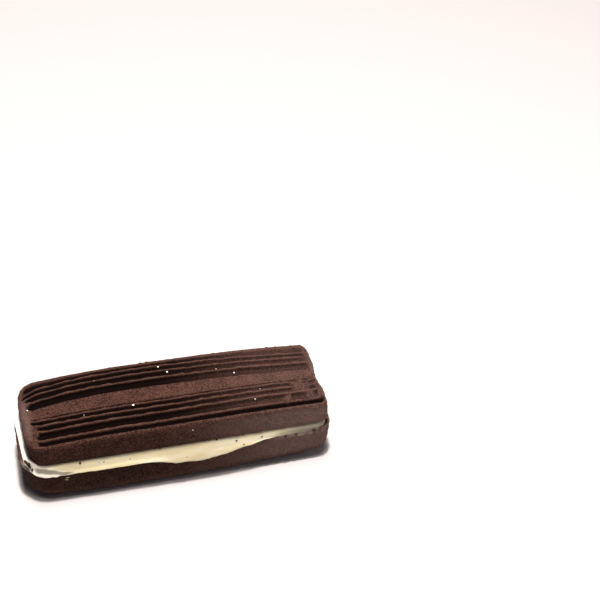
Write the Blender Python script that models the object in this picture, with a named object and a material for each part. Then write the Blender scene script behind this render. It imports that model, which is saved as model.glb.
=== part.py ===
import math

import bmesh
import bpy

# Sizes, in millimetres unless the name says otherwise
MM = 0.001
TOP_LENGTH = 72.0
TOP_MIDDLE_X = -0.05
TOP_THICK = 8.55
BOTTOM_LENGTH = 75.2
BOTTOM_MIDDLE_X = 0.0
BOTTOM_THICK = 10.30
HALF_WIDTH = 11.9
WIDTH_TAPER = 0.30
MIDDLE_Y = 0.41
CREAM_LENGTH = 72.7
CREAM_MIDDLE_X = -0.65
CREAM_SLANT = -0.035
CREAM_SPACE = 1.70
GAP = 0.3

EDGE_ROUND = 0.7
SIDE_BOW = 0.3

# Upright corners at the left and right end
TOP_CORNERS = (4.8, 2.8)
BOTTOM_CORNERS = (6.5, 3.2)

# Side of a biscuit: inset from its full width and drop below the rim at the shoulder,
# inset half way down, then inset and height at the rounded edge by the cream
SHOULDER = ((0.35, 0.30), (0.23, 1.00))
SIDE_INSET = 0.105
CREAM_EDGE = ((0.0, 1.0), (0.15, 0.245), (0.70, 0.0))

# Ends of each biscuit, left and right: inward lean of the face, rounding where the face
# meets the ridges, fall of the ridged face, and how far from the end the grooves begin and
# reach their full depth
TOP_ENDS = ((0.3, 1.5, 1.2, 1.6, 3.5), (0.4, 1.5, 0.8, 0.7, 2.4))
BOTTOM_ENDS = ((2.3, 2.3, 1.5, 1.6, 3.5), (1.5, 1.5, 0.9, 0.9, 2.6))

# Slant of each end across the width, left and right, for its front half and its back half
TOP_SLANTS = ((0.0, 0.0), (-0.09, 0.04))
BOTTOM_SLANTS = ((-0.035, -0.035), (-0.02, -0.02))

# Fall of the ridged face to its rims: at the front and the back, and how much it grows
# towards the right end and towards both ends
TOP_RIMS = (2.0, 1.5, 0.0, 0.5)
BOTTOM_RIMS = (2.0, 2.0, 0.6, 0.0)
DOME_POWER = 1.7
CROWN_FLAT = 12.0
CROWN_POWER = 1.8

BAND_BACK = 1.1
BAND_FRONT = -3.2
RIM = 11.3
CREST_DROP = 0.05

# Part of each ridged face that lies level across: back edge, front edge
TOP_LEVEL = (BAND_BACK, BAND_FRONT)
BOTTOM_LEVEL = (7.15, -7.34)

# Along that part: the half length that stays straight, how its fall to the ends begins
# (as a power of the way there), and a slight hollow inside its corners, on which the
# lower biscuit rests
TOP_STRAIGHT = (CROWN_FLAT, CROWN_POWER, 0.0)
BOTTOM_STRAIGHT = (28.40, 1.0, 0.02)
STRAIGHT_FADE = 4.0

# Grooves across the ridged face: near edge, floor start, floor end, far edge, depth
GROOVES = (
    (10.85, 10.40, 9.85, 9.40, 0.75),
    (9.10, 8.70, 7.60, 7.15, 0.90),
    (6.85, 6.45, 5.00, 4.55, 0.95),
    (4.20, 3.75, 1.60, 1.10, 1.05),
    (-3.20, -3.38, -3.62, -3.82, 0.50),
    (-4.08, -4.38, -5.10, -5.40, 0.85),
    (-5.68, -6.02, -6.74, -7.06, 0.90),
    (-7.34, -7.74, -8.96, -9.38, 1.00),
    (-9.68, -10.04, -10.74, -11.04, 0.80),
)

# The back grooves and the band of the upper biscuit curve forwards at both ends: x, shift
TOP_BEND = (
    (-36.0, -1.8),
    (-33.5, -1.5),
    (-30.0, -0.9),
    (-24.0, -0.4),
    (-16.0, -0.1),
    (-5.0, 0.0),
    (8.0, -0.35),
    (16.0, -0.65),
    (24.0, -1.1),
    (30.0, -1.35),
    (36.0, -1.5),
)

# Broken or worn places on the ridges: x, y, half length, half width, depth
TOP_CHIPS = (
    (-21.0, -4.9, 2.2, 1.6, 0.55),
    (30.5, -5.2, 3.0, 2.4, 0.50),
    (27.0, -8.6, 1.6, 1.2, 0.35),
    (-31.0, -9.9, 1.8, 1.2, 0.40),
)
BOTTOM_CHIPS = (
    (-12.0, 6.0, 2.4, 1.4, 0.45),
    (18.5, -7.4, 2.0, 1.5, 0.40),
)

# Dent in the right end of the upper biscuit: y, half width, depth
END_DENT = (-2.2, 4.6, 0.6)

# Cream bulge on the front side: x, reach beyond the biscuits, drop of the lower lip
CREAM_LIP = (
    (-36.0, 0.10, 0.2),
    (-33.5, 0.35, 1.1),
    (-29.0, 0.40, 1.1),
    (-24.0, 0.45, 1.5),
    (-18.0, 0.50, 2.0),
    (-7.0, 0.55, 2.5),
    (1.5, 0.60, 3.6),
    (6.5, 0.60, 3.6),
    (11.0, 0.55, 2.9),
    (17.0, 0.45, 1.4),
    (22.0, 0.25, 0.4),
    (27.0, -0.15, 0.05),
    (36.0, -0.40, 0.0),
)
CREAM_INSET = 0.25

# Cream in front, downwards: share of the reach, share of the lip's drop, further drop
CREAM_FRONT = (
    (1.00, 0.35, 0.00),
    (0.85, 0.75, 0.00),
    (0.40, 1.00, 0.10),
    (0.00, 0.92, 0.06),
    (0.00, 0.45, 0.04),
    (0.00, 0.12, 0.02),
)
CREAM_SHELF = 0.75
CREAM_UPPER = (0.12, -0.05)
CREAM_BACK_ROUND = (0.08, 0.25)
CREAM_END_ROUND = 0.6


# Helpers
def clear_scene():
    for item in list(bpy.data.objects):
        bpy.data.objects.remove(item, do_unlink=True)


def smooth_step(low, high, value):
    # Eases from 0 at low to 1 at high
    share = min(1.0, max(0.0, (value - low) / (high - low)))
    return share * share * (3.0 - 2.0 * share)


def round_inset(distance, radius):
    # How far a rounded corner lies behind the square one, a given distance from the end
    if distance >= radius:
        return 0.0
    run = radius - max(0.0, distance)
    return radius - math.sqrt(max(0.0, radius * radius - run * run))


def curve_value(rows, x, column):
    # Smooth value of one column of a table at x
    if x <= rows[0][0]:
        return rows[0][column]
    for left, right in zip(rows, rows[1:]):
        if x <= right[0]:
            share = smooth_step(left[0], right[0], x)
            return left[column] + (right[column] - left[column]) * share
    return rows[-1][column]


def stations(length, step):
    # Places along the piece, close together at the rounded ends
    ends = (0.0, 0.12, 0.45, 1.0, 1.7, 2.5, 3.5, 4.8)
    half = length / 2.0
    places = [-half + value for value in ends]
    inner = half - 6.5
    count = int(round(2.0 * inner / step))
    places += [-inner + 2.0 * inner * number / count for number in range(count + 1)]
    places += [half - value for value in reversed(ends)]
    return places


def mesh_from_rings(name, rings, color, roughness):
    # Joins closed rings along x and caps both ends
    work = bmesh.new()
    rows = [[work.verts.new((x * MM, y * MM, z * MM)) for x, y, z in ring] for ring in rings]
    size = len(rows[0])
    for first, second in zip(rows, rows[1:]):
        for number in range(size):
            after = (number + 1) % size
            work.faces.new((first[number], first[after], second[after], second[number]))
    for row in (rows[0], rows[-1]):
        middle = work.verts.new([sum(vert.co[axis] for vert in row) / size for axis in range(3)])
        for number in range(size):
            work.faces.new((row[number], row[(number + 1) % size], middle))
    bmesh.ops.recalc_face_normals(work, faces=work.faces)
    for face in work.faces:
        face.smooth = True
    mesh = bpy.data.meshes.new(name)
    work.to_mesh(mesh)
    work.free()
    item = bpy.data.objects.new(name, mesh)
    bpy.context.collection.objects.link(item)
    material = bpy.data.materials.new(name + "_material")
    material.use_nodes = True
    shader = material.node_tree.nodes["Principled BSDF"]
    shader.inputs["Base Color"].default_value = color
    shader.inputs["Roughness"].default_value = roughness
    mesh.materials.append(material)
    return item


# Biscuit form
def crown_drop(x, half, depth, flat, power):
    # Fall of the ridged face from its flat length towards one end of the biscuit
    reach = max(0.0, (abs(x) - flat) / (half - flat))
    return depth * reach ** power


def rim_drops(x, half, rims):
    # Fall of the ridged face at its front and back rim
    front, back, rightward, outward = rims
    more = rightward * x / half
    return front + more, back + more + outward * (x / half) ** 2


def dome_drop(y, level, drops):
    # Fall of the ridged face from its level part to the rims
    back, front = level
    if y >= back:
        return drops[1] * ((y - back) / (RIM - back)) ** DOME_POWER
    return drops[0] * max(0.0, (front - y) / (RIM + front)) ** DOME_POWER


def line_shift(x, y, bend):
    # Sideways shift of the ridges and grooves at a place
    if not bend:
        return 0.0
    return curve_value(bend, x, 1) * smooth_step(-5.0, 1.5, y) * smooth_step(RIM, 9.4, y)


def chip_drop(x, y, chips):
    # Depth broken away at a place on the ridges
    depth = 0.0
    for chip_x, chip_y, long_half, wide_half, chip_depth in chips:
        span = math.hypot((x - chip_x) / long_half, (y - chip_y) / wide_half)
        depth = max(depth, chip_depth * smooth_step(1.0, 0.3, span))
    return depth


def end_dent(y, from_end, dent):
    # Depth of the dent in the end of a biscuit
    middle, half_span, depth = dent
    return depth * smooth_step(1.0, 0.2, abs(y - middle) / half_span) * smooth_step(4.0, 0.0, from_end)


def half_width(x, half):
    # The biscuits are a little wider at the left and bow in at both ends
    return HALF_WIDTH - WIDTH_TAPER * x / half - SIDE_BOW * (x / half) ** 2


def ridge_points(level, hollow):
    # Across the ridged face: y, the depth there and whether it is on a ridge
    points = [(RIM, 0.0, True)]
    for near, floor_a, floor_b, far, depth in GROOVES:
        for y, on_ridge in ((near, True), (floor_a, False), (floor_b, False), (far, True)):
            drop = depth
            if on_ridge:
                drop = hollow if level[1] < y < level[0] else CREST_DROP
                drop = 0.0 if y in level else drop
            points.append((y, drop, on_ridge))
        if far == BAND_BACK:
            points.append(((BAND_BACK + BAND_FRONT) / 2.0, hollow, True))
    points.append((-RIM, 0.0, True))
    return points


def biscuit_rings(length, thick, corners, level, straight, rims, chips, ends, slants, dent, bend):
    half = length / 2.0
    straight_half, straight_power, hollow = straight
    ridges = ridge_points(level, hollow)
    rings = []
    for x in stations(length, 2.7):
        lean, end_round, crown, fade_start, fade_end = ends[0] if x < 0.0 else ends[1]
        front_slant, back_slant = slants[0] if x < 0.0 else slants[1]
        from_end = half - abs(x)
        corner = corners[0] if x < 0.0 else corners[1]
        wide = half_width(x, half) - round_inset(from_end, corner)
        drops = rim_drops(x, half, rims)
        scale = wide / HALF_WIDTH
        low = round_inset(from_end, EDGE_ROUND)
        rounding = round_inset(from_end, end_round)
        fall = crown_drop(x, half, crown, CROWN_FLAT, CROWN_POWER) + rounding
        level_fall = crown_drop(x, half, crown, straight_half, straight_power) + rounding
        level_fall += hollow * max(0.0, 1.0 - (x / straight_half) ** 2)
        bowed = smooth_step(straight_half, straight_half + STRAIGHT_FADE, abs(x))
        level_scale = 1.0 + (scale - 1.0) * bowed
        fade = smooth_step(fade_start, fade_end, from_end)
        ring = []
        for y, depth, on_ridge in ridges:
            in_level = level[1] <= y <= level[0]
            z = thick - dome_drop(y, level, drops) - depth * fade
            z -= level_fall if in_level else fall
            if on_ridge:
                z -= chip_drop(x, y, chips) * fade
            ring.append((y * (level_scale if in_level else scale) + line_shift(x, y, bend), z))
        sides = []
        for drop in drops:
            rim_z = thick - drop - fall
            side = [(inset - wide, rim_z - down) for inset, down in SHOULDER]
            side.append((SIDE_INSET - wide, (rim_z + low) / 2.0))
            side += [(inset - wide, low + height) for inset, height in CREAM_EDGE]
            sides.append(side)
        ring += sides[0]
        ring += [(0.0, low)]
        ring += [(-y, z) for y, z in reversed(sides[1])]
        reach = smooth_step(half * 0.55, half, abs(x))
        inward = -lean if x > 0.0 else lean
        moved = []
        for y, z in ring:
            slant = back_slant if y > 0.0 else front_slant
            shift = (slant * y + inward * z / thick) * reach
            if dent and x > 0.0:
                shift -= end_dent(y, from_end, dent)
            moved.append((x + shift, y, z))
        rings.append(moved)
    return rings


def placed(rings, middle_x, base, flip):
    # Turns the lower biscuit over about its length and sets a piece in its place
    moved = []
    for ring in rings:
        if flip:
            ring = [(x, -y, base - z) for x, y, z in ring]
        else:
            ring = [(x, y, z + base) for x, y, z in ring]
        moved.append([(x + middle_x, y + MIDDLE_Y, z) for x, y, z in ring])
    return moved


# Cream form
def cream_rings():
    low = BOTTOM_THICK + GAP
    high = BOTTOM_THICK + CREAM_SPACE - GAP
    middle = (low + high) / 2.0
    half = CREAM_LENGTH / 2.0
    rings = []
    for x in stations(CREAM_LENGTH, 2.4):
        from_end = half - abs(x)
        corner = BOTTOM_CORNERS[0] if x < 0.0 else BOTTOM_CORNERS[1]
        side = half_width(x, half) - round_inset(from_end + CREAM_END_ROUND, corner)
        back = half_width(x, half) - CREAM_INSET - round_inset(from_end, corner)
        reach = curve_value(CREAM_LIP, x, 1)
        lip = curve_value(CREAM_LIP, x, 2)
        pinch = round_inset(from_end, CREAM_END_ROUND) * 0.5
        inner = side + GAP
        rounded, round_height = CREAM_BACK_ROUND
        ring = [
            (back - EDGE_ROUND, high - pinch),
            (0.0, high - pinch),
            (CREAM_SHELF - side, high - pinch),
            (-side, high + CREAM_UPPER[0] - pinch),
            (-inner - reach * 0.45, high + CREAM_UPPER[1] - pinch),
            (-inner - reach * 0.85, middle),
        ]
        for out, down, extra in CREAM_FRONT:
            ring.append((-inner - reach * out, low - extra - lip * down))
        ring += [
            (CREAM_SHELF - side, low + pinch),
            (0.0, low + pinch),
            (back - EDGE_ROUND, low + pinch),
            (back - rounded, low + round_height),
            (back, middle),
            (back - rounded, high - round_height),
        ]
        lean = CREAM_SLANT * smooth_step(half * 0.55, half, -x)
        rings.append([(x + lean * y, y, z) for y, z in ring])
    return rings


# Pieces
clear_scene()
top_rings = biscuit_rings(
    TOP_LENGTH,
    TOP_THICK,
    TOP_CORNERS,
    TOP_LEVEL,
    TOP_STRAIGHT,
    TOP_RIMS,
    TOP_CHIPS,
    TOP_ENDS,
    TOP_SLANTS,
    END_DENT,
    TOP_BEND,
)
bottom_rings = biscuit_rings(
    BOTTOM_LENGTH,
    BOTTOM_THICK,
    BOTTOM_CORNERS,
    BOTTOM_LEVEL,
    BOTTOM_STRAIGHT,
    BOTTOM_RIMS,
    BOTTOM_CHIPS,
    BOTTOM_ENDS,
    BOTTOM_SLANTS,
    None,
    None,
)
mesh_from_rings(
    "top_biscuit",
    placed(top_rings, TOP_MIDDLE_X, BOTTOM_THICK + CREAM_SPACE, False),
    (0.060, 0.030, 0.026, 1.0),
    0.85,
)
mesh_from_rings(
    "cream_filling",
    placed(cream_rings(), CREAM_MIDDLE_X, 0.0, False),
    (0.80, 0.74, 0.50, 1.0),
    0.55,
)
mesh_from_rings(
    "bottom_biscuit",
    placed(bottom_rings, BOTTOM_MIDDLE_X, BOTTOM_THICK, True),
    (0.055, 0.027, 0.024, 1.0),
    0.85,
)
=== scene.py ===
import math
import random

import bmesh
import bpy
from mathutils import Matrix, Quaternion, Vector, noise
from mathutils.bvhtree import BVHTree


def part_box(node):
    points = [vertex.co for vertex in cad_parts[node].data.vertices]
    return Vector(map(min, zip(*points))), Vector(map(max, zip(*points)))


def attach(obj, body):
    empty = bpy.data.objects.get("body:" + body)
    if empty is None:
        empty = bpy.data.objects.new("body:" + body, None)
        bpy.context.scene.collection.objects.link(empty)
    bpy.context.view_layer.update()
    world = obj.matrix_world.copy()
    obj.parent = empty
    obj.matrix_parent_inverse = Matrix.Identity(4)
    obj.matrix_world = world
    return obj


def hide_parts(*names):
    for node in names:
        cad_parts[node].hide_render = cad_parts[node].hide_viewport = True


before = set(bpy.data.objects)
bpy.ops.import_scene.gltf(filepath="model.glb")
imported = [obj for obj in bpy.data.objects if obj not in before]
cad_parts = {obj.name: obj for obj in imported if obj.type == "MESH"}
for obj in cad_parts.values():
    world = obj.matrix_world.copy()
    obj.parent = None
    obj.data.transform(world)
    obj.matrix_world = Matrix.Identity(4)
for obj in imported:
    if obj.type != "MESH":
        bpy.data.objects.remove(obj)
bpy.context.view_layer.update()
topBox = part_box("top_biscuit")
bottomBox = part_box("bottom_biscuit")
mm = 0.001
creamFloor = bottomBox[1].z / mm  # flat faces that the cream lies between
creamCeiling = topBox[0].z / mm
rand = random.Random(29)


# Small helpers
def ease(low, high, value):  # 0 at low, 1 at high, smooth between
    share = min(1.0, max(0.0, (value - low) / (high - low)))
    return share * share * (3.0 - 2.0 * share)


def roundInset(fromEnd, radius):  # how far a rounded corner lies behind a square one
    run = radius - min(radius, max(0.0, fromEnd))
    return radius - math.sqrt(max(0.0, radius * radius - run * run))


def lump(x, y, z, size, seed=0.0):  # smooth noise with lumps of about one size, in mm
    return noise.noise(Vector((x / size + seed, y / size - seed, z / size + 2.0 * seed)))


def tableAt(rows, x, column):  # smooth value of one column of a table at x
    if x <= rows[0][0]:
        return rows[0][column]
    for left, right in zip(rows, rows[1:]):
        if x <= right[0]:
            share = ease(left[0], right[0], x)
            return left[column] + (right[column] - left[column]) * share
    return rows[-1][column]


def linear(hexCode, alpha=1.0):  # sRGB hex to the linear colour that Blender keeps
    values = [int(hexCode[i:i + 2], 16) / 255.0 for i in (1, 3, 5)]
    return [v / 12.92 if v <= 0.04045 else ((v + 0.055) / 1.055) ** 2.4 for v in values] + [alpha]


def addNode(tree, kind, settings=None, links=None):  # one node with its settings and links
    node = tree.nodes.new(kind)
    for name, value in (settings or {}).items():
        if isinstance(name, int) or name in node.inputs:
            node.inputs[name].default_value = value
        else:
            setattr(node, name, value)
    for name, source in (links or {}).items():
        tree.links.new(source, node.inputs[name])
    return node


def newMaterial(name):
    material = bpy.data.materials.new(name)
    material.use_nodes = True
    tree = material.node_tree
    return material, tree, tree.nodes["Principled BSDF"]


def finishPiece(name, bm, material, nodeName, replaced):
    bmesh.ops.recalc_face_normals(bm, faces=bm.faces)
    mesh = bpy.data.meshes.new(name)
    bm.to_mesh(mesh)
    bm.free()
    mesh.shade_smooth()
    mesh.materials.append(material)
    piece = bpy.data.objects.new(name, mesh)
    bpy.context.collection.objects.link(piece)
    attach(piece, "root")
    if replaced:
        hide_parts(nodeName)
    return piece


# Camera: the biscuit lies to the lower left of the view, seen from the front and above
camera = {
    "lookAt": (43.29, 47.86, 0.35),  # mm, on the floor
    "distance": 507.6,  # mm
    "azimuth": -13.92,
    "elevation": 40.33,
    "roll": 1.04,
    "lensAngle": 18.0,
}


def makeCamera(c):
    data = bpy.data.cameras.new("camera")
    data.sensor_fit = "HORIZONTAL"
    data.angle = math.radians(c["lensAngle"])
    data.clip_start = 0.02
    data.clip_end = 20.0
    item = bpy.data.objects.new("camera", data)
    bpy.context.collection.objects.link(item)
    azimuth = math.radians(c["azimuth"])
    elevation = math.radians(c["elevation"])
    away = Vector((math.sin(azimuth), -math.cos(azimuth), 0.0)) * math.cos(elevation)
    away.z = math.sin(elevation)
    item.location = (Vector(c["lookAt"]) + away * c["distance"]) * mm
    item.rotation_mode = "QUATERNION"
    roll = Quaternion((0.0, 0.0, 1.0), math.radians(c["roll"]))
    item.rotation_quaternion = (-away).to_track_quat("-Z", "Y") @ roll
    bpy.context.scene.camera = item
    return item


viewer = makeCamera(camera)
print("camera set")


# Biscuits: dough pressed through a grooved nozzle, cut to length and baked
biscuit = {  # mm
    "halfWidth": 11.9,
    "middleY": 0.41,
    "widthTaper": 0.30,
    "sideBow": 0.30,
    "edgeRound": 0.7,
    "rim": 11.3,
    "domePower": 1.7,
    "crownFlat": 12.0,
    "crownPower": 1.8,
    "step": 0.33,  # mesh spacing along and across
    "sectionStep": 0.30,
    "endRings": 12,
    "grooves": (  # across the ridged face: near edge, floor start, floor end, far edge, depth
        (10.85, 10.40, 9.85, 9.40, 0.75),
        (9.10, 8.70, 7.60, 7.15, 0.90),
        (6.85, 6.45, 5.00, 4.55, 0.95),
        (4.20, 3.75, 1.60, 1.10, 1.05),
        (-3.20, -3.38, -3.62, -3.82, 0.50),
        (-4.08, -4.38, -5.10, -5.40, 0.85),
        (-5.68, -6.02, -6.74, -7.06, 0.90),
        (-7.34, -7.74, -8.96, -9.38, 1.00),
        (-9.68, -10.04, -10.74, -11.04, 0.80),
    ),
    "flatBand": (1.10, -3.20),  # its back and front edge
    "sideOutline": (  # outwards from the rim, share of the side's height
        (0.25, 0.954),
        (0.37, 0.847),
        (0.50, 0.500),
        (0.60, 0.190),
        (0.42, 0.050),
        (-0.10, 0.000),
    ),
    "tone": {  # where the colour changes, with painted light and painted shade; spans go from no effect to all of it
        "sideAcross": (11.1, 11.6),
        "sideUpper": (0.99, 0.74),  # share of the thickness
        # paler towards the right, more on the sides than on top: partly painted light from the right
        "paleAndLitAlong": (-8.0, 34.0),
        "paleAndLitOnTop": 0.25,
        # paler ends: the left partly dust and partly painted light, the right painted light
        "leftEnd": (2.6, 0.8),
        "leftEndAcross": (11.9, 7.5),
        "rightEnd": (1.4, 0.3),
        "rightEndMost": 0.9,
        "fullShadeDepth": 0.55,  # a groove this deep gets the full painted shade
        "fadedAlong": (-4.0, 26.0),  # the painted groove shade gets lighter towards the right,
        "fadedAcross": (-9.6, -8.8),  # but not in the front groove
        "fadedMost": 0.5,
        # painted shade on the sides, strongest at the left
        "sideShadeAlong": (24.0, -12.0),
    },
    "wear": {  # ridges and broken places: sizes and heights
        "ragged": ((1.7, 1.0), (0.8, 0.8)),  # lump size, shift of the grooves' ends
        "crestCut": (0.30, 0.06),  # cut that is still groove, cut that is crest
        "crestDrop": 0.05,
        "crestLump": (1.7, 0.20),
        "crestDip": (5.0, 0.15),
        "tornLump": (1.1, 1.1),
        "waver": ((5.0, 0.08), (0.9, 0.07)),
    },
    "smear": {  # greyish traces of cream along the lower biscuit's front edge
        "depth": (1.5, 0.5),
        "ragged": (1.4, 0.8),
        "rightStart": (19.0, 25.0),
        "rightStop": (35.0, 31.0),
        "left": (-24.0, -27.0),
        "leftMost": 0.6,
        "front": (-5.0, -9.0),
    },
    "crumb": {  # noise sizes and heights
        "patch": 6.0,  # rough and smooth patches
        "lumps": ((2.6, 0.050), (0.9, 0.080), (0.5, 0.055)),
        "pit": (1.0, 0.15),
        "tornReach": (3.0, 1.2),  # the cut ends are rougher
        "tornLumps": ((1.0, 0.14), (0.6, 0.08)),
    },
}
topBiscuit = {
    "node": "top_biscuit",
    "length": 72.0,
    "middleX": -0.05,
    "thick": 8.55,
    "base": creamCeiling,
    "turnedOver": False,
    "corners": (4.8, 2.8),
    "rims": (2.0, 1.5, 0.0, 0.5),  # fall at the front and back, growing rightward and outward
    "bend": (  # the back grooves and the band curve forwards at both ends: x, shift
        (-36.0, -1.8),
        (-33.5, -1.5),
        (-30.0, -0.9),
        (-24.0, -0.4),
        (-16.0, -0.1),
        (-5.0, 0.0),
        (8.0, -0.35),
        (16.0, -0.65),
        (24.0, -1.1),
        (30.0, -1.35),
        (36.0, -1.5),
    ),
    "level": biscuit["flatBand"],
    # along the level part: half length that stays straight, power of its fall, hollow
    "straight": (12.0, 1.8, 0.0),
    # left and right end: lean, rounding, fall, groove start, groove at full depth
    "ends": ((0.3, 1.5, 1.2, 1.2, 3.0), (0.4, 1.5, 0.8, 0.7, 2.4)),
    "slants": ((0.0, 0.0), (-0.09, 0.04)),  # left and right, each for its front and back half
    "grooveSlant": 0.12,  # grooves stop earlier at the front of the left end
    "dent": (-2.2, 4.6, 0.6),
    "undercut": 0.9,  # how far the left end draws in towards the cream
    "notch": 0.0,
    "paleLeft": 0.75,  # paler left end, partly dust and partly painted light
    "sideShade": 0.36,  # painted shade on the sides in the left half
    # broken places: x, y, half length, half width, depth
    "chips": (
        (30.8, -4.9, 3.6, 2.7, 0.36),
        (26.7, -8.6, 1.6, 1.2, 0.35),
        (32.3, -8.2, 1.6, 1.2, 0.36),
    ),
    "seed": 3.7,
}
lowerBiscuit = {
    "node": "bottom_biscuit",
    "length": 75.2,
    "middleX": 0.0,
    "thick": creamFloor,
    "base": creamFloor,
    "turnedOver": True,
    "corners": (6.5, 3.2),
    "rims": (2.0, 2.0, 0.6, 0.0),
    "bend": None,
    "level": (7.15, -7.34),
    "straight": (28.40, 1.0, 0.02),
    "ends": ((2.3, 2.3, 1.5, 1.6, 3.5), (1.2, 1.5, 0.9, 0.9, 2.6)),
    "slants": ((-0.035, -0.035), (-0.02, -0.02)),
    "grooveSlant": 0.0,
    "dent": None,
    "undercut": 0.0,
    "notch": 0.8,
    "paleLeft": 0.0,
    "sideShade": 0.44,
    "chips": (
        (-12.0, 6.0, 2.4, 1.4, 0.45),
        (18.5, -7.4, 2.0, 1.5, 0.40),
    ),
    "seed": 11.3,
}


def halfWidthAt(x, half):
    b = biscuit
    return b["halfWidth"] - b["widthTaper"] * x / half - b["sideBow"] * (x / half) ** 2


def stations(length, step, finest=0.05):  # places along a piece, close together at its ends
    places = [0.0]
    gap = finest
    while places[-1] < length / 2.0 - step:
        places.append(places[-1] + gap)
        gap = min(step, gap * 1.35)
    left = [-length / 2.0 + place for place in places]
    return left + [-place for place in reversed(left) if place < -step / 2.0]


def wireSection(bm, points, x, longest):  # a closed wire of points across, split finely
    verts = [bm.verts.new((x, y, z)) for y, z in points]
    edges = [bm.edges.new((a, b)) for a, b in zip(verts, verts[1:] + verts[:1])]
    for edge in edges:
        cuts = int(edge.calc_length() / longest)
        if cuts:
            bmesh.ops.subdivide_edges(bm, edges=[edge], cuts=cuts)
    return list(bm.edges)


def extrudeRing(bm, ring):  # a new ring joined to this one: its vertices and edges
    made = bmesh.ops.extrude_edge_only(bm, edges=ring)["geom"]
    verts = {item for item in made if isinstance(item, bmesh.types.BMVert)}
    edges = [item for item in made if isinstance(item, bmesh.types.BMEdge)]
    return verts, [edge for edge in edges if edge.verts[0] in verts and edge.verts[1] in verts]


def pullAlong(bm, edges, places):  # draws the wire out along x and gives its last ring
    ring = edges
    for place in places[1:]:
        verts, ring = extrudeRing(bm, ring)
        for vert in verts:
            vert.co.x = place
    return ring


def closeEnd(bm, ring, centre, steps, flag=None):  # fills an end with rings that shrink
    for left in range(steps, 0, -1):
        verts, ring = extrudeRing(bm, ring)
        share = left / (left + 1.0)
        for vert in verts:
            vert.co.y = centre[0] + (vert.co.y - centre[0]) * share
            vert.co.z = centre[1] + (vert.co.z - centre[1]) * share
            if flag is not None:
                vert[flag] = 1
    bmesh.ops.holes_fill(bm, edges=ring, sides=0)


def biscuitSection(thick):  # the nozzle's outline: ridged face up, flat face on the cream
    rim = biscuit["rim"]
    points = [(rim, thick)]
    for near, floorA, floorB, far, depth in biscuit["grooves"]:
        points += [(near, thick - 0.05), (floorA, thick - depth)]
        points += [(floorB, thick - depth), (far, thick - 0.05)]
    points.append((-rim, thick))
    points += [(-rim - out, thick * share) for out, share in biscuit["sideOutline"]]
    points += [(rim + out, thick * share) for out, share in reversed(biscuit["sideOutline"])]
    return points


def palenessAndPaintedLight(s, x, y, side):  # how pale a place is: partly paler, dustier dough, partly painted light on the ends and the right-hand sides
    t = biscuit["tone"]
    leftEnd = s["paleLeft"] * ease(*t["leftEnd"], x + s["length"] / 2.0) * ease(*t["leftEndAcross"], abs(y))
    rightEnd = t["rightEndMost"] * ease(*t["rightEnd"], s["length"] / 2.0 - x)
    along = ease(*t["paleAndLitAlong"], x) * (t["paleAndLitOnTop"] + (1.0 - t["paleAndLitOnTop"]) * side)
    return max(leftEnd, rightEnd, along)


def paintedShadeAt(s, x, y, side, depth):  # painted shade: how dark a groove or a side is painted
    t = biscuit["tone"]
    faded = t["fadedMost"] * ease(*t["fadedAlong"], x) * ease(*t["fadedAcross"], y)
    paintedShade = min(1.0, depth / t["fullShadeDepth"]) * (1.0 - faded)
    return max(paintedShade, side * s["sideShade"] * ease(*t["sideShadeAlong"], x))


def makeBiscuit(name, s, material):
    b = biscuit
    t = biscuit["tone"]
    bm = bmesh.new()
    places = stations(s["length"], b["step"])
    first = wireSection(bm, biscuitSection(s["thick"]), places[0], b["sectionStep"])
    last = pullAlong(bm, first, places)
    onEnd = bm.verts.layers.int.new("onEnd")
    # layer of painted shade for the grooves and the sides
    sunk = bm.verts.layers.float.new("paintedShade")
    # paler crests: partly wear, partly painted highlight
    crestWearAndHighlight = bm.verts.layers.float.new("crest")
    # paler places: partly dust, partly painted light
    paleAndLitLayer = bm.verts.layers.float.new("paleAndPaintedLight")
    smeared = bm.verts.layers.float.new("smear")
    for ring in (first, last):
        closeEnd(bm, ring, (0.0, s["thick"] * 0.5), b["endRings"], onEnd)
    for vert in bm.verts:
        x, y, z = vert.co
        side = ease(*t["sideAcross"], abs(y)) * ease(*t["sideUpper"], z / s["thick"])
        place, depth, vert[crestWearAndHighlight] = bakedShape(vert.co.copy(), s, vert[onEnd])
        vert[paleAndLitLayer] = palenessAndPaintedLight(s, x, y, side)
        vert[sunk] = paintedShadeAt(s, x, y, side, depth)
        vert[smeared] = creamSmear(s, place / mm)
        vert.co = place
    bm.normal_update()
    crumble(bm, s)
    return finishPiece(name, bm, material, s["node"], True)


def crownFall(x, half, crown, flat, power):  # fall of the ridged face towards one end
    return crown * max(0.0, (abs(x) - flat) / (half - flat)) ** power


def chipAt(s, x, y):  # how broken a place on the ridges is, and how deep
    most = 0.0
    depth = 0.0
    for chipX, chipY, longHalf, wideHalf, chipDepth in s["chips"]:
        span = math.hypot((x - chipX) / longHalf, (y - chipY) / wideHalf)
        broken = ease(1.05, 0.35, span + 0.5 * lump(x, y, 0.0, 1.1, s["seed"]))
        rough = chipDepth + 0.6 * lump(x, y, 4.0, 0.8, s["seed"])
        most = max(most, broken)
        depth = max(depth, rough * ease(0.0, 0.2, broken))
    return most, depth


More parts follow.
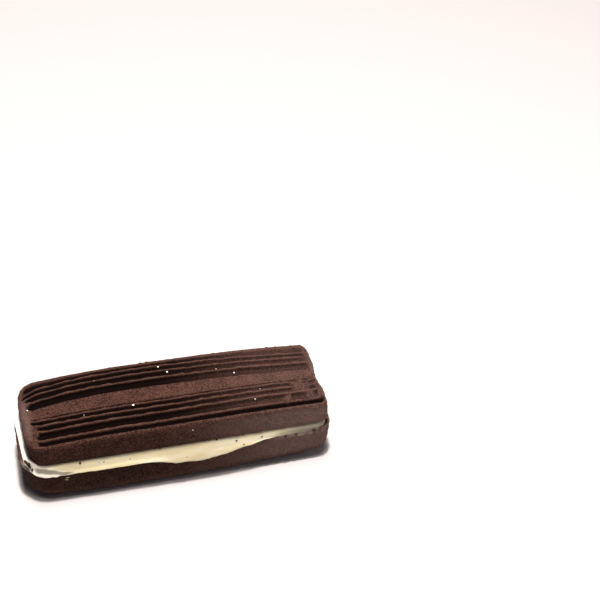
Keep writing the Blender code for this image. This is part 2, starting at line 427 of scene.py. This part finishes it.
def ridgeRelief(s, x, y, cut, fromEnd):  # depth under the smooth face, the depth behind the painted shade, and paler crests from wear and painted highlight
    w = biscuit["wear"]
    seed = s["seed"]
    fadeStart, fadeEnd = s["ends"][0 if x < 0.0 else 1][3:]
    delay = -s["grooveSlant"] * y if x < 0.0 else 0.0
    (longSize, longShift), (shortSize, shortShift) = w["ragged"]
    ragged = longShift * lump(0.0, y, seed, longSize, seed) + shortShift * lump(x, y, 0.0, shortSize, seed)
    fade = ease(fadeStart + delay, fadeEnd + delay, fromEnd + ragged)
    depth = cut * fade
    bandBack, bandFront = biscuit["flatBand"]
    onBand = bandFront - 0.01 <= y <= bandBack + 0.01
    crest = 0.0
    if not onBand and abs(y) < 10.95:
        crest = ease(*w["crestCut"], cut)
        size, height = w["crestLump"]
        depth += crest * (w["crestDrop"] + height * lump(x, y, 2.0, size, seed)) * fade
        size, height = w["crestDip"]
        depth += crest * height * max(0.0, lump(x, y, 7.0, size, seed))
    torn = ease(0.0, 0.4, fade) * ease(1.0, 0.7, fade)
    size, height = w["tornLump"]
    tornLump = lump(x, y, 9.0, size, seed)
    depth -= torn * height * max(0.0, tornLump)
    crest = max(crest, torn * ease(0.0, 0.3, tornLump))
    broken, chipDepth = chipAt(s, x, y)
    crumbs = broken * ease(-0.1, 0.4, lump(x, y, 8.0, 0.9, seed))
    depth += (chipDepth - depth) * broken
    return depth, depth * (1.0 - 0.7 * broken), max(crest * (1.0 - broken) * fade, crumbs)


def bakedShape(co, s, onEnd):  # moves one point of the straight bar to its place
    b = biscuit
    x, y, z = co
    thick = s["thick"]
    half = s["length"] / 2.0
    side = 0 if x < 0.0 else 1
    lean, endRound, crown = s["ends"][side][:3]
    slant = s["slants"][side][1 if y > 0.0 else 0]
    fromEnd = half - abs(x)
    back, front = s["level"]
    straight, power, hollow = s["straight"]
    wide = halfWidthAt(x, half) - roundInset(fromEnd, s["corners"][side])
    low = roundInset(fromEnd, b["edgeRound"])
    rounding = roundInset(fromEnd, endRound)
    fall = crownFall(x, half, crown, b["crownFlat"], b["crownPower"]) + rounding
    scale = wide / b["halfWidth"]
    share = min(1.0, max(0.0, (y - back) / (b["rim"] - back), (front - y) / (b["rim"] + front)))
    rimFront, rimBack, rightward, outward = s["rims"]
    rimDrop = rimBack + outward * (x / half) ** 2 if y > 0.0 else rimFront
    surface = thick - (rimDrop + rightward * x / half) * share ** b["domePower"]
    shade = 0.0
    crest = 0.0
    if abs(y) <= b["rim"] + 0.01 and z > thick * 0.8 and not onEnd:
        if front <= y <= back:
            fall = crownFall(x, half, crown, straight, power) + rounding
            fall += hollow * max(0.0, 1.0 - (x / straight) ** 2)
            scale = 1.0 + (scale - 1.0) * ease(straight, straight + 4.0, abs(x))
        depth, shade, crest = ridgeRelief(s, x, y, thick - z, fromEnd)
        newZ = surface - fall - depth
        (longSize, longWaver), (shortSize, shortWaver) = b["wear"]["waver"]
        waver = longWaver * lump(x, y * 0.3, 5.0, longSize, s["seed"])
        waver += shortWaver * lump(x, y, 5.0, shortSize, s["seed"])
        newY = (y + waver * ease(0.3, 1.3, b["rim"] - abs(y)) * ease(0.5, 3.0, fromEnd)) * scale
        if s["bend"]:
            newY += tableAt(s["bend"], x, 1) * ease(-5.0, 1.5, y) * ease(b["rim"], 9.4, y)
    else:
        newZ = low + (z / thick) * (surface - fall - low)
        newY = y * scale
    reach = ease(half * 0.55, half, abs(x))
    inward = -lean if x > 0.0 else lean
    newX = x + (slant * newY + inward * newZ / thick) * reach
    if x < 0.0:
        newX += s["undercut"] * ease(0.50, 0.05, newZ / thick) * ease(3.0, 0.0, fromEnd)
    else:
        newX -= s["notch"] * ease(0.60, 0.66, newZ / thick) * ease(3.0, 0.0, fromEnd)
        if s["dent"]:
            middle, halfSpan, dentDepth = s["dent"]
            dented = ease(1.0, 0.2, abs(newY - middle) / halfSpan) * ease(4.0, 0.0, fromEnd)
            newX -= dentDepth * dented
    if s["turnedOver"]:
        newY = -newY
        newZ = -newZ
    place = Vector((newX + s["middleX"], newY + b["middleY"], newZ + s["base"])) * mm
    return place, max(0.0, shade), crest


def creamSmear(s, place):  # how far a place is covered by thin traces of cream
    if not s["turnedOver"]:
        return 0.0
    m = biscuit["smear"]
    size, height = m["ragged"]
    below = s["base"] - place.z + height * lump(place.x, 0.0, place.z, size, 2.0)
    right = ease(*m["rightStart"], place.x) * ease(*m["rightStop"], place.x)
    left = m["leftMost"] * ease(*m["left"], place.x)
    return ease(*m["depth"], below) * max(right, left) * ease(*m["front"], place.y)


def crumble(bm, s):  # the grainy baked surface: lumps, small pits and rough ends
    g = biscuit["crumb"]
    # the painted shade layer: no pits where it is full
    sunk = bm.verts.layers.float["paintedShade"]
    moves = []
    for vert in bm.verts:
        x, y, z = vert.co / mm
        patch = ease(-0.2, 0.5, lump(x, y, z, g["patch"], s["seed"]))
        push = 0.0
        for i, (size, height) in enumerate(g["lumps"]):
            rough = 0.35 + 0.65 * patch if i else 1.0  # the large lumps are the same all over
            push += height * rough * lump(x, y, z, size, s["seed"] + i)
        size, deep = g["pit"]
        push -= deep * ease(0.40, 0.60, lump(x, y, z, size, s["seed"] + 5.0)) * (1.0 - vert[sunk])
        torn = ease(*g["tornReach"], s["length"] / 2.0 - abs(x))
        for i, (size, height) in enumerate(g["tornLumps"]):
            push += torn * height * lump(x, y, z, size, s["seed"] + 7.0 + i)
        moves.append(push)
    for vert, push in zip(bm.verts, moves):
        vert.co += vert.normal * push * mm
        vert.co.z = max(0.0, vert.co.z)


# Baked cocoa biscuit: dry open crumb, so it shows no gloss, a fine grain and paler crests, partly wear and
# partly painted highlight; painted shade in the grooves and on the sides
cocoa = {
    "dark": "#251511",
    "middle": "#34201a",
    "warm": "#422a22",
    # pale dust for the specks, also the painted highlight on the crests
    "dustAndHighlight": "#694b40",
    # painted shade for the grooves and the sides
    "paintedShadeColour": "#080201",
    # paler dough and painted light on the ends and the right-hand sides
    "paleAndLitColour": "#65544f",
    "smear": "#8a8072",
    "roughness": 0.9,
    "mottle": 3.5,  # mm, patches from uneven baking
    "grain": 0.40,  # mm, crumb grains, drawn a little coarser than real ones so they show
    "patchSpread": (0.28, 0.50, 0.72),
    # over the base colour: what places it, value for none and for all of it, most of it, colour
    "layers": (
        # paler places: partly dust, partly painted light
        ("paleAndPaintedLight", 0.0, 1.0, 0.90, "paleAndLitColour"),
        ("grain", 0.44, 0.68, 0.65, "dustAndHighlight"),  # pale specks
        ("grain", 0.50, 0.34, 0.55, "dark"),  # dark spots between the grains
        # paler crests: partly wear, partly painted highlight
        ("crest", 0.0, 1.0, 0.30, "dustAndHighlight"),
        # painted shade in the grooves and on the sides
        ("paintedShade", 0.0, 1.0, 1.0, "paintedShadeColour"),
        ("smear", 0.0, 1.0, 1.0, "smear"),
    ),
    "bumpStrength": 0.9,
    "bumpHeight": 0.17,  # mm
    "specular": 0.05,
}


def layColours(tree, colour, look, grain):  # lays the look's layers over a base colour
    for mark, none, full, most, over in look["layers"]:
        where = grain
        if mark != "grain":
            where = addNode(tree, "ShaderNodeAttribute", {"attribute_name": mark}).outputs["Fac"]
        share = addNode(tree, "ShaderNodeMapRange", {"From Min": none, "From Max": full, "To Max": most},
                        {"Value": where})
        layer = addNode(tree, "ShaderNodeMix", {"data_type": "RGBA", 7: linear(look[over])},
                        {0: share.outputs["Result"], 6: colour})
        colour = layer.outputs[2]
    return colour


def bakedCocoaBiscuit(name, shift):
    c = cocoa
    material, tree, shader = newMaterial(name)
    place = addNode(tree, "ShaderNodeTexCoord").outputs["Object"]
    moved = addNode(tree, "ShaderNodeMapping", {"Location": (shift, 0.0, 0.0)},
                    {"Vector": place}).outputs["Vector"]
    patches = addNode(tree, "ShaderNodeTexNoise", {"Scale": 1.0 / (c["mottle"] * mm), "Detail": 4.0},
                      {"Vector": moved})
    grain = addNode(tree, "ShaderNodeTexNoise", {"Scale": 1.0 / (c["grain"] * mm), "Detail": 5.0,
                                                 "Roughness": 0.65}, {"Vector": moved}).outputs["Fac"]
    base = addNode(tree, "ShaderNodeValToRGB", links={"Fac": patches.outputs["Fac"]})
    ramp = base.color_ramp.elements
    low, between, high = c["patchSpread"]
    ramp[0].position, ramp[0].color = low, linear(c["dark"])
    ramp[1].position, ramp[1].color = high, linear(c["warm"])
    ramp.new(between).color = linear(c["middle"])
    colour = layColours(tree, base.outputs["Color"], c, grain)
    tree.links.new(colour, shader.inputs["Base Color"])
    bump = addNode(tree, "ShaderNodeBump", {"Strength": c["bumpStrength"],
                                            "Distance": c["bumpHeight"] * mm}, {"Height": grain})
    tree.links.new(bump.outputs["Normal"], shader.inputs["Normal"])
    shader.inputs["Roughness"].default_value = c["roughness"]
    shader.inputs["Specular IOR Level"].default_value = c["specular"]
    return material


cocoaTop = bakedCocoaBiscuit("bakedCocoaTop", 0.0)
topPiece = makeBiscuit("ridgedTop", topBiscuit, cocoaTop)
print("upper biscuit made", len(topPiece.data.polygons))
lowerPiece = makeBiscuit("ridgedBottom", lowerBiscuit, bakedCocoaBiscuit("bakedCocoaBottom", 0.4))
print("lower biscuit made", len(lowerPiece.data.polygons))


# Cream filling: pressed out between the biscuits, bulging over the lower one at the front
cream = {  # mm
    "length": 72.7,
    "middleX": -0.65,
    "slant": -0.035,
    "inset": 0.25,
    "corners": (6.5, 3.2),
    "sink": 0.12,  # how far it presses into the crumb of both biscuits
    "step": 0.30,
    "endRings": 2,
    "cuts": 3,  # across each side of the section
    "ripple": (1.3, 0.08),  # noise size and height
    "grainRipple": (0.6, 0.04),
    "filmSink": 0.12,
    "backWave": (5.0, 0.25),
    "reachWave": (4.0, 0.10),
    "lipWave": (3.0, 0.10),
    "raggedLip": (0.12, 0.30),  # along the front, and added at the left end
    "seed": 5.1,
    "lip": (  # x, reach beyond the biscuits, drop of the lower lip
        (-36.0, 0.40, 0.2),
        (-33.5, 0.65, 1.1),
        (-29.0, 0.70, 1.1),
        (-24.0, 0.75, 1.1),
        (-18.0, 0.80, 1.1),
        (-7.0, 0.85, 1.1),
        (1.5, 0.90, 2.9),
        (6.5, 0.90, 3.1),
        (11.0, 0.85, 2.3),
        (17.0, 0.70, 1.0),
        (22.0, 0.25, 0.2),
        (25.0, -0.15, 0.05),
        (36.0, -0.55, 0.0),
    ),
    "outline": (  # front, downwards: how y is measured, how far out, level, share of the lip
        ("edge", -0.75, "high", 0.00),
        ("edge", -0.45, "high", -0.05),
        ("edge", -0.22, "high", -0.30),
        ("edge", 0.00, "middle", 0.00),
        ("reach", 0.36, "lip", 0.12),
        ("reach", 0.70, "lip", 0.48),
        ("reach", 1.00, "lip", 0.86),
        ("reach", 0.85, "lip", 1.03),
        ("edge", 0.08, "lip", 0.97),
        ("edge", 0.02, "lip", 0.50),
        ("edge", -0.05, "lip", 0.08),
        ("edge", -0.75, "low", 0.00),
    ),
    "film": {  # where the cream is thin, and painted shade under the top biscuit's edge and in the hollow at the left
        "middle": (10.7, 1.2),  # height of the smear's middle line and its fall to the right
        "height": (1.10, 0.70),  # its half height and the loss of that to the right
        "fall": (-33.5, -26.0),
        "narrowing": (-32.5, -26.0),
        "leftStart": (-34.8, -33.8),
        "leftStop": (-24.5, -27.0),
        "corner": (-34.2, -35.2),
        "cornerFront": (-7.0, -8.5),
        "cornerMost": 0.7,
        "right": (20.0, 30.0),
        "upper": (10.9, 12.0),
        "upperMost": 0.6,
        "faded": (-19.0, -29.0),
        "fadedMost": 0.22,
        "front": (-6.0, -9.0),
    },
}


def creamSection(x, half):
    k = cream
    fromEnd = half - abs(x)
    low = creamFloor - k["sink"]
    high = creamCeiling + k["sink"]
    corner = k["corners"][0 if x < 0.0 else 1]
    side = halfWidthAt(x, half) - roundInset(fromEnd + 0.6, corner)
    back = halfWidthAt(x, half) - k["inset"] - roundInset(fromEnd, corner)
    size, height = k["backWave"]
    back += height * lump(x, 20.0, 0.0, size, k["seed"])
    size, height = k["reachWave"]
    reach = tableAt(k["lip"], x, 1) + height * lump(x, 0.0, 0.0, size, k["seed"])
    size, share = k["lipWave"]
    lip = tableAt(k["lip"], x, 2) * (1.0 + share * lump(x, 3.0, 0.0, size, k["seed"]))
    along, added = k["raggedLip"]
    lip = max(0.0, lip + (along + added * ease(-26.0, -29.0, x)) * lump(x, 9.0, 0.0, 0.9, k["seed"]))
    levels = {"high": high, "middle": (low + high) / 2.0, "low": low, "lip": low - 0.05}
    points = []
    for kind, out, level, share in k["outline"]:
        drop = share * lip if level == "lip" else -share
        points.append((-side - out * (reach if kind == "reach" else 1.0), levels[level] - drop))
    points += [(back - 0.7, low), (back - 0.1, low + 0.35), (back, levels["middle"])]
    points += [(back - 0.1, high - 0.35), (back - 0.7, high)]
    return points


def thinAndShadedShare(x, y, z):  # where the biscuit shows through the cream, and painted shade under the top biscuit's edge and in the hollow at the left
    f = cream["film"]
    middle = f["middle"][0] - f["middle"][1] * ease(*f["fall"], x) + 0.25 * lump(x, y, z, 1.1, 3.0)
    height = f["height"][0] - f["height"][1] * ease(*f["narrowing"], x)
    # the hollow at the left: thin cream and painted shade
    left = ease(1.0, 0.45, abs(z - middle) / height)
    left *= ease(*f["leftStart"], x) * ease(*f["leftStop"], x)
    corner = f["cornerMost"] * ease(*f["corner"], x) * ease(*f["cornerFront"], y)
    corner *= ease(-0.3, 0.3, lump(x, y, z, 0.8))
    right = ease(*f["right"], x + 1.5 * lump(x, 0.0, z, 2.0, 4.0))
    atFront = ease(*f["front"], y)
    # painted shade along the top, under the top biscuit's edge
    upper = f["upperMost"] * ease(*f["upper"], z) * atFront
    faded = f["fadedMost"] * ease(*f["faded"], x) * atFront
    return max(left, corner, right, upper, faded)


def paintedLightCreamShare(x, y, z):  # painted light: the left end and the corner smear are painted whiter
    slope = x + 1.1 * (z - 9.0) + 1.2 * lump(x, y, z, 1.6, 8.0)
    return ease(-26.0, -31.0, slope) if y < -8.0 else ease(-31.0, -34.0, x)


def makeCream(material):
    k = cream
    half = k["length"] / 2.0
    places = stations(k["length"], k["step"])
    bm = bmesh.new()
    first = wireSection(bm, creamSection(places[0], half), places[0], k["length"])  # not split
    number = bm.verts.layers.int.new("number")
    for i, vert in enumerate(bm.verts):
        vert[number] = i
    last = pullAlong(bm, first, places)
    sections = {}
    for vert in bm.verts:
        x = vert.co.x
        if x not in sections:
            sections[x] = creamSection(x, half)
        vert.co.y, vert.co.z = sections[x][vert[number]]
    for ring in (first, last):
        closeEnd(bm, ring, (0.0, (creamFloor + creamCeiling) / 2.0), k["endRings"])
    across = [edge for edge in bm.edges if abs(edge.verts[0].co.x - edge.verts[1].co.x) < 0.001]
    bmesh.ops.subdivide_edges(bm, edges=across, cuts=k["cuts"], use_grid_fill=True)
    for _ in range(2):
        bmesh.ops.smooth_vert(bm, verts=bm.verts, factor=0.5, use_axis_x=False, use_axis_y=True,
                              use_axis_z=True)
    for vert in bm.verts:
        x, y, z = vert.co
        vert.co.x = x + k["slant"] * ease(half * 0.55, half, -x) * y + k["middleX"]
        vert.co.y = y + biscuit["middleY"]
    bm.normal_update()
    # thin cream and painted shade
    thinAndShaded = bm.verts.layers.float.new("thinAndShaded")
    # painted light at the left end
    paintedLightCream = bm.verts.layers.float.new("paintedLightCream")
    for vert in bm.verts:
        x, y, z = vert.co
        vert[thinAndShaded] = thinAndShadedShare(x, y, z)
        vert[paintedLightCream] = paintedLightCreamShare(x, y, z)
        size, height = k["ripple"]
        push = height * lump(x * 0.35, y, z, size, k["seed"])  # drawn out along the cream
        size, height = k["grainRipple"]
        push += height * lump(x, y, z, size, k["seed"])
        vert.co += vert.normal * (push - k["filmSink"] * vert[thinAndShaded])
    bmesh.ops.scale(bm, vec=(mm, mm, mm), verts=bm.verts)
    return finishPiece("creamLayer", bm, material, "cream_filling", True)


# Sugar and fat cream: smooth and dense, a soft sheen, light carried a little way inside
creamLook = {
    "body": "#d6cda8",
    "warm": "#cfc198",
    "pale": "#dfd7bf",
    # colour for thin cream and for painted shade
    "thinAndShaded": "#635c4d",
    # whiter cream for the painted light
    "paintedLightCream": "#f8f4e7",
    "roughness": 0.5,
    "streak": 1.6,  # mm across the streaks left by spreading
    "streakSpread": (0.35, 0.50, 0.65),
    "grain": 0.5,  # mm
    "layers": (  # as for the biscuits
        # painted light at the left end
        ("paintedLightCream", 0.0, 1.0, 0.9, "paintedLightCream"),
        # thin cream and painted shade
        ("thinAndShaded", 0.0, 1.0, 0.85, "thinAndShaded"),
    ),
    "inside": 0.2,  # share of the light that is carried inside,
    "insideReach": 0.8,  # and how far, in mm
    "bumpStrength": 0.25,
    "bumpHeight": 0.08,  # mm
}


def spreadVanillaCream():
    c = creamLook
    material, tree, shader = newMaterial("spreadVanillaCream")
    place = addNode(tree, "ShaderNodeTexCoord").outputs["Object"]
    along = addNode(tree, "ShaderNodeMapping", {"Scale": (0.2, 1.0, 1.0)}, {"Vector": place})
    streaks = addNode(tree, "ShaderNodeTexNoise", {"Scale": 1.0 / (c["streak"] * mm), "Detail": 3.0},
                      {"Vector": along.outputs["Vector"]})
    grain = addNode(tree, "ShaderNodeTexNoise", {"Scale": 1.0 / (c["grain"] * mm), "Detail": 3.0},
                    {"Vector": place}).outputs["Fac"]
    base = addNode(tree, "ShaderNodeValToRGB", links={"Fac": streaks.outputs["Fac"]})
    ramp = base.color_ramp.elements
    low, between, high = c["streakSpread"]
    ramp[0].position, ramp[0].color = low, linear(c["warm"])
    ramp[1].position, ramp[1].color = high, linear(c["pale"])
    ramp.new(between).color = linear(c["body"])
    colour = layColours(tree, base.outputs["Color"], c, grain)
    tree.links.new(colour, shader.inputs["Base Color"])
    shader.inputs["Roughness"].default_value = c["roughness"]
    shader.inputs["Subsurface Weight"].default_value = c["inside"]
    shader.inputs["Subsurface Radius"].default_value = (1.0, 0.8, 0.4)
    shader.inputs["Subsurface Scale"].default_value = c["insideReach"] * mm
    bump = addNode(tree, "ShaderNodeBump", {"Strength": c["bumpStrength"],
                                            "Distance": c["bumpHeight"] * mm}, {"Height": grain})
    tree.links.new(bump.outputs["Normal"], shader.inputs["Normal"])
    return material


creamMaterial = spreadVanillaCream()
creamPiece = makeCream(creamMaterial)
print("cream made", len(creamPiece.data.polygons))


# Small things stuck to the surface, each placed where the line of sight through a point meets it
def carryingSurface():  # the three main pieces as one tree for lines of sight
    verts = []
    faces = []
    for piece in (topPiece, lowerPiece, creamPiece):
        first = len(verts)
        verts += [vert.co.copy() for vert in piece.data.vertices]
        faces += [[first + i for i in face.vertices] for face in piece.data.polygons]
    return BVHTree.FromPolygons(verts, faces)


carrier = carryingSurface()


def stuckGrains(name, s, material, nodeName):
    bm = bmesh.new()
    long, wide, high = s["shape"]
    for x, y, z, radius in s["spots"]:
        sight = (Vector((x, y, z)) * mm - viewer.location).normalized()
        hit, normal = carrier.ray_cast(viewer.location, sight)[:2]
        turn = normal.to_track_quat("Z", "Y").to_matrix().to_4x4()
        spin = Matrix.Rotation(rand.uniform(-s["turn"], s["turn"]), 4, "Z")
        size = Matrix.Diagonal(Vector((long, wide, high)) * radius * mm).to_4x4()
        made = bmesh.ops.create_icosphere(bm, subdivisions=2, radius=1.0)["verts"]
        for vert in made:
            vert.co *= 1.0 + 0.5 * lump(vert.co.x + 9.0 * x, vert.co.y, vert.co.z, 0.9, 1.0)
        place = Matrix.Translation(hit + normal * radius * mm * high * (1.0 - 2.0 * s["sunk"]))
        bmesh.ops.transform(bm, matrix=place @ turn @ spin @ size, verts=made)
    return finishPiece(name, bm, material, nodeName, False)


def plainMaterial(name, colour, roughness):
    material, _, shader = newMaterial(name)
    shader.inputs["Base Color"].default_value = linear(colour)
    shader.inputs["Roughness"].default_value = roughness
    return material


# Crystal sugar: fairly smooth facets, so each grain is a small bright speck
sugarGrains = {
    "shape": (1.0, 0.9, 0.8),  # length, width and height as shares of the radius
    "turn": 3.0,  # the most that one turns
    "sunk": 0.3,  # share that is in the surface
    "colour": "#efe9df",
    "roughness": 0.35,
    "spots": (  # x, y, z in mm, radius
        (-1.42, 9.09, 19.34, 0.24),
        (0.28, 6.11, 20.03, 0.27),
        (11.95, 4.32, 20.33, 0.12),
        (15.86, 1.79, 20.52, 0.22),
        (-9.65, -3.98, 20.47, 0.30),
        (-34.18, 0.36, 19.51, 0.25),
        (19.04, -7.35, 19.71, 0.18),
        (20.82, -4.76, 20.24, 0.09),
        (-17.30, 7.00, 19.78, 0.08),
        (-21.37, -4.56, 20.18, 0.10),
        (2.90, -13.35, 18.55, 0.10),
    ),
}
sugarMaterial = plainMaterial("sugarCrystal", sugarGrains["colour"], sugarGrains["roughness"])
stuckGrains("sugarGrains", sugarGrains, sugarMaterial, "top_biscuit")
print("sugar grains placed")

cocoaCrumbs = {
    "shape": (1.0, 0.85, 0.6),  # length, width and height as shares of the radius
    "turn": 3.0,  # the most that one turns
    "sunk": 0.35,  # share that is in the surface
    "spots": (
        (-23.89, -12.2, 12.33, 0.30),
        (-18.28, -12.2, 11.44, 0.16),
        (-19.46, -12.2, 11.49, 0.14),
        (-12.13, -12.2, 11.10, 0.14),
        (-4.90, -12.2, 13.19, 0.24),
        (1.45, -12.2, 8.83, 0.14),
        (8.70, -12.2, 13.11, 0.26),
        (11.93, -12.2, 13.91, 0.20),
        (13.48, -12.2, 11.73, 0.24),
        (15.29, -12.2, 10.11, 0.20),
        (17.98, -12.2, 13.63, 0.20),
        (19.64, -12.2, 11.72, 0.22),
        (23.35, -12.2, 11.00, 0.30),
        (25.46, -12.2, 10.86, 0.34),
        (28.02, -12.2, 10.85, 0.30),
        (32.40, -12.2, 11.27, 0.50),
        (33.92, -12.2, 11.78, 0.45),
        (-36.29, -12.2, 15.35, 0.50),
        (-35.72, -12.2, 14.57, 0.55),
        (-35.50, -12.2, 13.54, 0.45),
        (-35.02, -12.2, 12.60, 0.35),
        (-34.88, -12.2, 10.68, 0.40),
        (-34.40, -12.2, 9.65, 0.25),
    ),
}
stuckGrains("cocoaCrumbs", cocoaCrumbs, cocoaTop, "top_biscuit")
print("crumbs placed")

creamFlakes = {
    "shape": (3.0, 0.9, 0.5),  # length, width and height as shares of the radius
    "turn": 0.1,  # the most that one turns
    "sunk": 0.35,  # share that is in the surface
    "spots": (
        (-27.10, -12.2, 8.20, 0.17),
        (-27.30, -12.2, 7.55, 0.13),
    ),
}
stuckGrains("creamFlakes", creamFlakes, creamMaterial, "cream_filling")
print("cream flakes placed")


# Floor and light
studio = {
    "floorHalf": 3.0,  # m
    "floorColour": "#c3bfbd",
    "floorRoughness": 0.6,
    "worldColour": "#efe4f3",
    "worldStrength": 0.07,
    "lamps": (  # name, place in m, aimed at, width and height in m, watts, colour
        ("keyLamp", (0.0, -0.08, 0.75), (0.0, 0.0, 0.0), 0.05, 0.05, 6.6, "#fff9f6"),
        ("overheadSoftbox", (0.0, 0.0, 0.60), (0.0, 0.0, 0.0), 0.16, 0.44, 4.4, "#fff9f6"),
        ("fillSoftbox", (0.16, -0.10, 0.12), (0.035, 0.0, 0.01), 0.08, 0.08, 0.05, "#fdeef2"),
    ),
}


def makeStudio(s):
    bm = bmesh.new()
    bmesh.ops.create_grid(bm, x_segments=1, y_segments=1, size=s["floorHalf"])
    mesh = bpy.data.meshes.new("floor")
    bm.to_mesh(mesh)
    bm.free()
    floor = bpy.data.objects.new("floor", mesh)
    bpy.context.collection.objects.link(floor)
    # Matt painted board: soft and even, so that only the contact shadow shows
    mesh.materials.append(plainMaterial("paintedTable", s["floorColour"], s["floorRoughness"]))
    world = bpy.data.worlds.new("studioAir")
    world.use_nodes = True
    air = world.node_tree.nodes["Background"]
    air.inputs["Color"].default_value = linear(s["worldColour"])
    air.inputs["Strength"].default_value = s["worldStrength"]
    bpy.context.scene.world = world
    for name, place, target, width, height, watts, colour in s["lamps"]:
        lamp = bpy.data.lights.new(name, "AREA")
        lamp.shape = "RECTANGLE"
        lamp.size = width
        lamp.size_y = height
        lamp.energy = watts
        lamp.color = linear(colour)[:3]
        item = bpy.data.objects.new(name, lamp)
        item.location = place
        item.rotation_euler = (Vector(target) - Vector(place)).to_track_quat("-Z", "Y").to_euler()
        bpy.context.collection.objects.link(item)
    bpy.context.scene.view_settings.view_transform = "Standard"


makeStudio(studio)
print("studio made")
